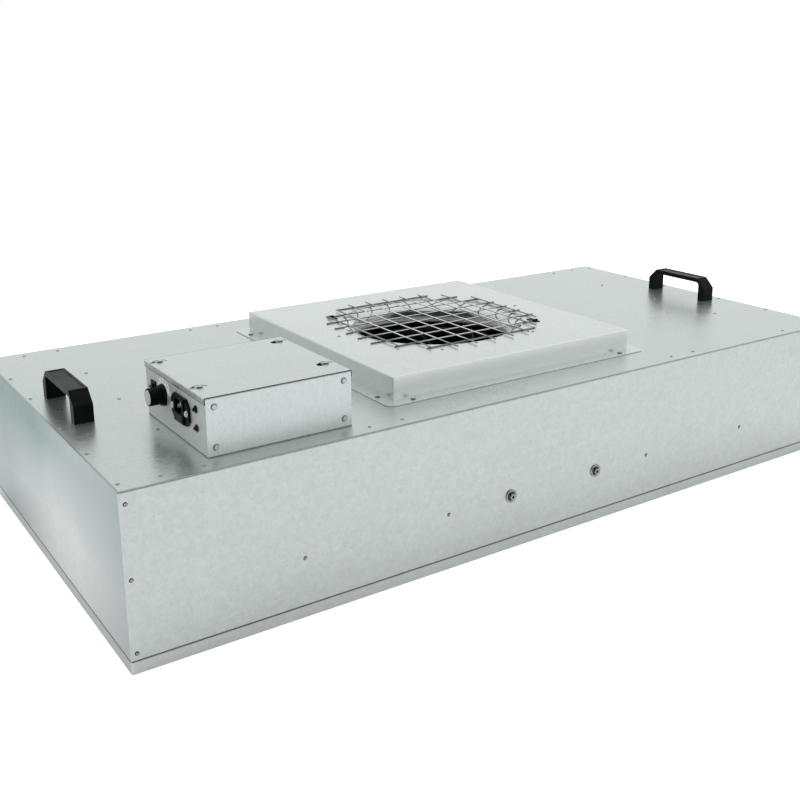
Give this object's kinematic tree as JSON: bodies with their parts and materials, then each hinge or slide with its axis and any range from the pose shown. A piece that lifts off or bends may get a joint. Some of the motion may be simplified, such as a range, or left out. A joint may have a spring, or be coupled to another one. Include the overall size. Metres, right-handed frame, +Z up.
{
  "type": "laminar flow hood",
  "caption": "Low galvanised laminar flow hood with a guarded top inlet, two carrying handles and a control box with knob, switch and mains inlet.",
  "frame": {"origin": "middle of the underside of the base frame", "axes": "+X along the length towards the right end seen from the front, +Y towards the back, +Z up through the air inlet"},
  "size_m": [1.175, 0.5838, 0.2798],
  "materials": {
    "body_sheet": "satin",
    "frame_sheet": "satin",
    "plenum_sheet": "satin",
    "ring_steel": "satin",
    "guard_wire": "satin",
    "clip_black": "matte",
    "filter_alloy": "satin",
    "guard_white": "satin",
    "media_paper": "matte",
    "gasket_foam": "matte",
    "handle_black": "satin",
    "zinc_fixings": "satin",
    "box_sheet": "satin",
    "inner_sheet": "satin",
    "motor_alloy": "satin",
    "bearing_steel": "polished",
    "impeller_alloy": "satin",
    "lining_foam": "matte",
    "rubber_black": "matte",
    "dial_white": "satin",
    "knob_black": "satin",
    "cap_silver": "satin",
    "pin_brass": "polished",
    "drawer_grey": "satin",
    "fuse_glass": "polished",
    "lamp_green": "gloss",
    "lamp_red": "gloss"
  },
  "bodies": {
    "housing": {"acoustic_lining": "lining_foam", "air_baffles": "inner_sheet", "base_frame": "frame_sheet", "base_screws": "zinc_fixings", "beam_bolts": "zinc_fixings", "beam_nuts": "zinc_fixings", "box_base": "box_sheet", "box_front_plate": "box_sheet", "box_lid": "box_sheet", "box_rear_plate": "box_sheet", "box_screws": "zinc_fixings", "cable_grommet": "rubber_black", "capacitor": "motor_alloy", "capacitor_clamp": "box_sheet", "dial_plate": "dial_white", "end_baffles": "inner_sheet", "face_guard": "guard_white", "fault_lamp": "lamp_red", "filter_frame": "filter_alloy", "filter_gasket": "gasket_foam", "filter_media": "media_paper", "front_panel": "body_sheet", "guard_clips": "clip_black", "handle_screws": "zinc_fixings", "inlet_pins": "pin_brass", "inlet_plenum": "plenum_sheet", "inlet_ring": "ring_steel", "inlet_screws": "zinc_fixings", "left_handle": "handle_black", "left_panel": "body_sheet", "mains_inlet": "knob_black", "motor_beams": "inner_sheet", "motor_plate": "inner_sheet", "motor_screws": "zinc_fixings", "motor_stator": "motor_alloy", "plenum_screws": "zinc_fixings", "power_lamp": "lamp_green", "rear_panel": "body_sheet", "regulator_nut": "zinc_fixings", "right_handle": "handle_black", "right_panel": "body_sheet", "ring_rivets": "zinc_fixings", "rocker_frame": "knob_black", "speed_regulator": "knob_black", "terminal_block": "drawer_grey", "top_panel": "body_sheet", "top_rivets": "zinc_fixings", "wall_rivets": "zinc_fixings", "wire_guard": "guard_wire"},
    "fan": {"impeller": "impeller_alloy", "motor_rotor": "motor_alloy", "motor_bearings": "bearing_steel"},
    "speed_knob_set": {"speed_knob": "knob_black", "knob_cap": "cap_silver", "regulator_shaft": "bearing_steel"},
    "power_rocker": {"rocker": "knob_black"},
    "fuse_holder": {"fuse_drawer": "drawer_grey", "fuse": "fuse_glass"}
  },
  "joints": [
    {"name": "fan_spin", "type": "hinge", "parent": "housing", "child": "fan", "pos_m": [0, 0, 0.112], "axis": [0, 0, -1], "continuous": true},
    {"name": "speed_knob_turn", "type": "hinge", "parent": "housing", "child": "speed_knob_set", "pos_m": [-0.4758, -0.133, 0.249], "axis": [1, 0, 0], "range_deg": [0, 270]},
    {"name": "power_rocker_tip", "type": "hinge", "parent": "housing", "child": "power_rocker", "pos_m": [-0.4728, -0.101, 0.2475], "axis": [0, 1, 0], "range_deg": [0, 14]},
    {"name": "fuse_drawer_pull", "type": "slide", "parent": "housing", "child": "fuse_holder", "axis": [-1, 0, 0], "range_m": [0, 0.016]}
  ]
}
